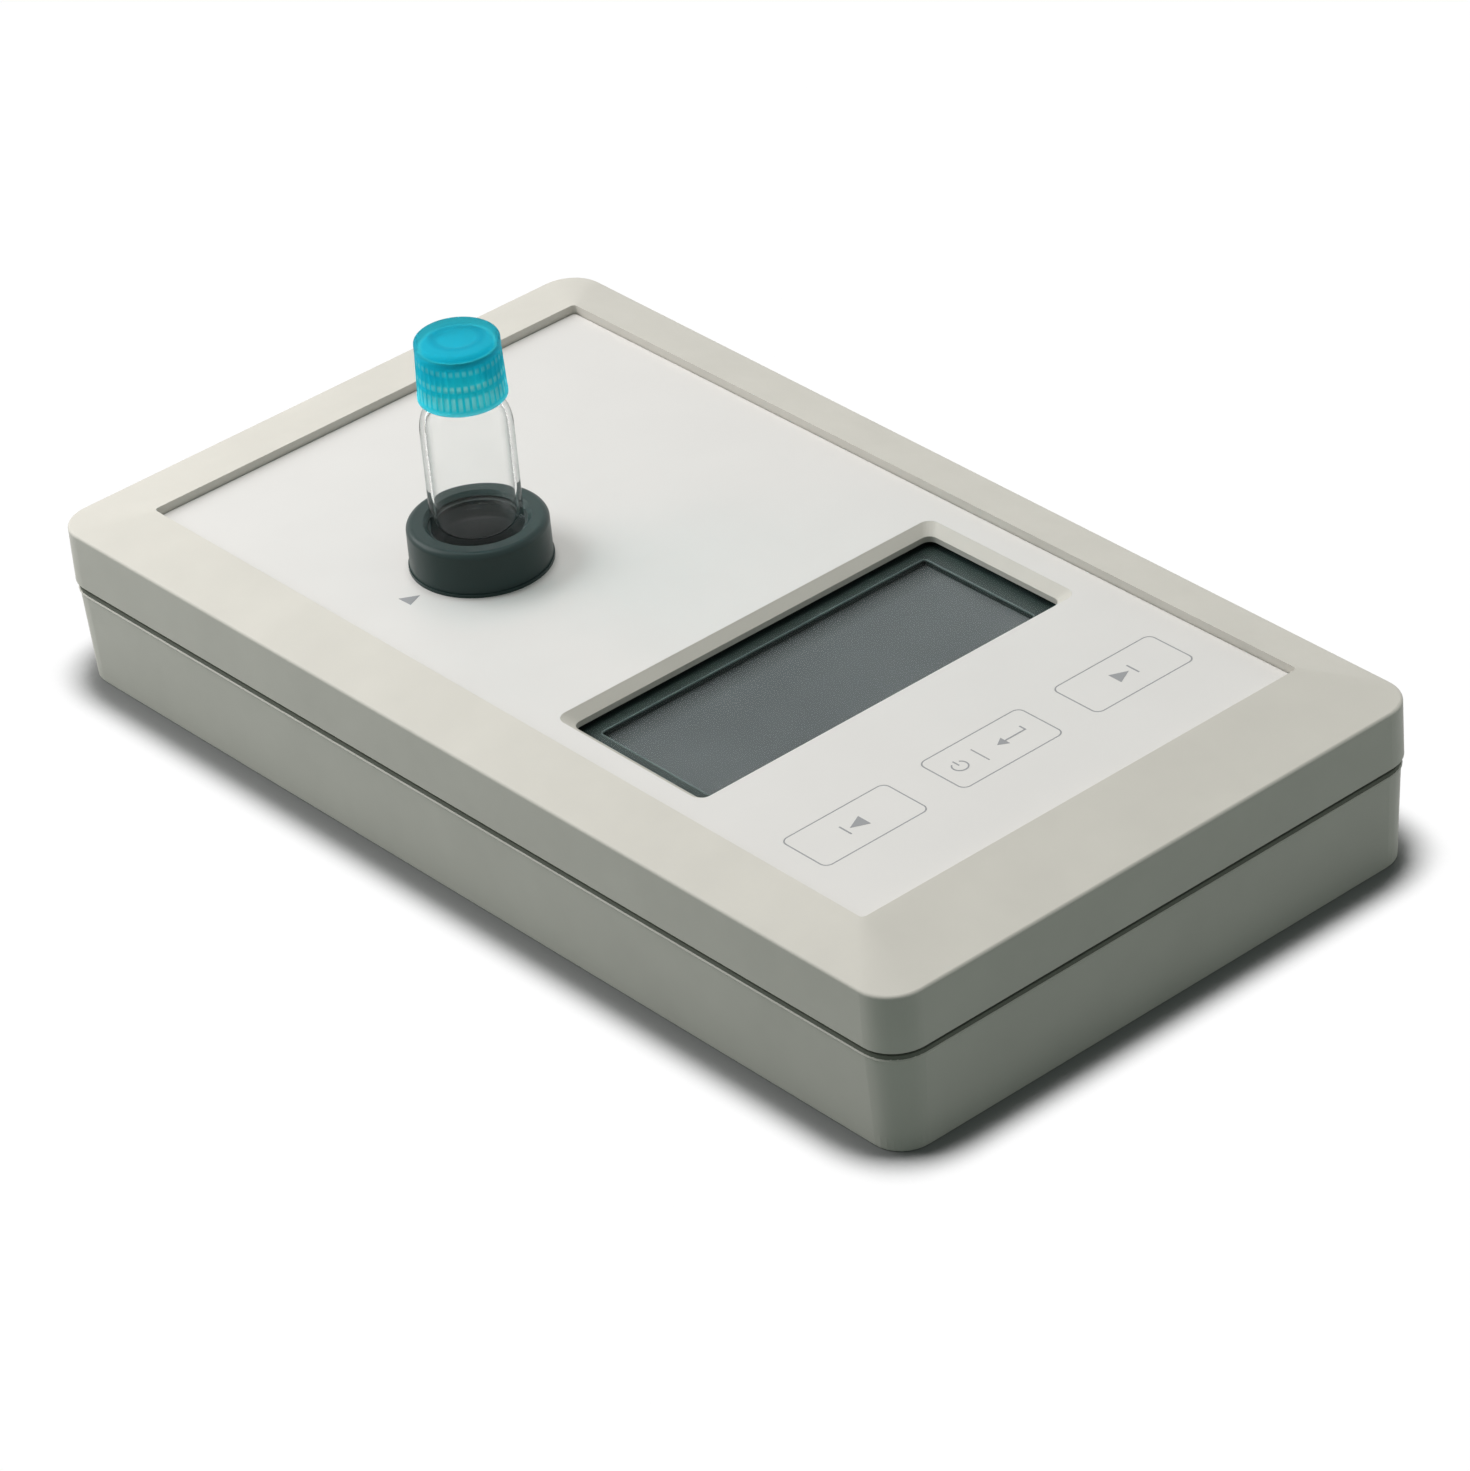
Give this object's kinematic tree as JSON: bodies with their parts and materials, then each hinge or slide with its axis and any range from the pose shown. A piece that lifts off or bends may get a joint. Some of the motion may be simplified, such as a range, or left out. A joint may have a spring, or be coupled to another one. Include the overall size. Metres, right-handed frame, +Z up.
{
  "type": "bench photometer",
  "caption": "Flat two-shell case with a recessed display and flush keys on a front foil, and a round capped glass vial in a raised measuring collar.",
  "frame": {"origin": "middle of the case outline, on the plane that the rubber feet stand on", "axes": "+X to the user's right, +Y away from the user along the case, +Z up"},
  "size_m": [0.114, 0.2052, 0.0721],
  "materials": {
    "case_plastic": "fine moulded texture, warm light grey",
    "foil": "satin printed foil, off-white",
    "steel": "plain zinc-plated steel",
    "rubber": "matt black rubber",
    "foam": "soft dark foam",
    "circuit_board": "green solder mask",
    "flex_strip": "amber flexible strip",
    "chip_plastic": "black moulded plastic",
    "clear_pane": "clear polycarbonate",
    "black_metal": "black painted sheet",
    "lcd_glass": "slate-grey display glass",
    "white_plastic": "white plastic",
    "black_plastic": "satin black plastic",
    "emitter_plastic": "clear moulded lamp body",
    "filter_glass": "coloured filter glass",
    "detector_can": "pressed metal can",
    "cell_can": "plain dark wrapped cell",
    "contact_metal": "plated contact strip",
    "vial_glass": "clear glass",
    "cap_plastic": "translucent turquoise plastic"
  },
  "bodies": {
    "case": {"upper_shell": "case_plastic", "lower_shell": "case_plastic", "front_foil": "foil", "case_screws": "steel", "rubber_feet": "rubber", "keypad_board": "circuit_board", "key_domes": "steel", "keypad_screws": "steel", "keypad_tail": "flex_strip", "keypad_connector": "chip_plastic", "window_pane": "clear_pane", "display_gasket": "foam", "lcd_bezel": "black_metal", "lcd_glass": "lcd_glass", "lcd_light_guide": "white_plastic", "lcd_contact_strips": "foam", "lcd_board": "circuit_board", "lcd_screws": "steel", "measuring_collar": "black_plastic", "light_seal": "rubber", "collar_nut": "black_plastic", "optical_block": "black_plastic", "emitters": "emitter_plastic", "optical_filter": "filter_glass", "light_detector": "detector_can", "emitter_board": "circuit_board", "detector_board": "circuit_board", "main_board": "circuit_board", "board_screws": "steel", "board_chips": "chip_plastic", "board_capacitors": "detector_can", "buzzer": "chip_plastic", "battery_cells": "cell_can", "battery_contacts": "contact_metal"},
    "key_left": {"key_left": "foil"},
    "key_middle": {"key_middle": "foil"},
    "key_right": {"key_right": "foil"},
    "vial": {"vial": "vial_glass"},
    "cap_liner": {"cap_liner": "white_plastic"},
    "vial_cap": {"vial_cap": "cap_plastic"},
    "battery_door": {"battery_door": "case_plastic"}
  },
  "joints": [
    {"name": "key_left_press", "type": "slide", "parent": "case", "child": "key_left", "axis": [0, 0, -1], "range_m": [0, 0.0004], "stiffness_N_per_m": 4000, "springref_m": -0.0002},
    {"name": "key_middle_press", "type": "slide", "parent": "case", "child": "key_middle", "axis": [0, 0, -1], "range_m": [0, 0.0004], "stiffness_N_per_m": 4000, "springref_m": -0.0002},
    {"name": "key_right_press", "type": "slide", "parent": "case", "child": "key_right", "axis": [0, 0, -1], "range_m": [0, 0.0004], "stiffness_N_per_m": 4000, "springref_m": -0.0002},
    {"name": "vial_slide", "type": "slide", "parent": "case", "child": "vial", "axis": [0, 0, 1], "range_m": [-0.0224, 0.03]},
    {"name": "cap_rise", "type": "slide", "parent": "vial", "child": "cap_liner", "axis": [0, 0, 1], "range_m": [0, 0.004]},
    {"name": "cap_turn", "type": "hinge", "parent": "cap_liner", "child": "vial_cap", "pos_m": [-0.0174, 0.0373, 0.06], "axis": [0, 0, 1], "range_deg": [0, 450]},
    {"name": "battery_door_swing", "type": "hinge", "parent": "case", "child": "battery_door", "pos_m": [0, -0.07465, 0.0012], "axis": [-1, 0, 0], "range_deg": [0, 75]}
  ],
  "couplings": [
    {"joint": "cap_turn", "follows": "cap_rise", "rad_per_m": 1963.5}
  ]
}
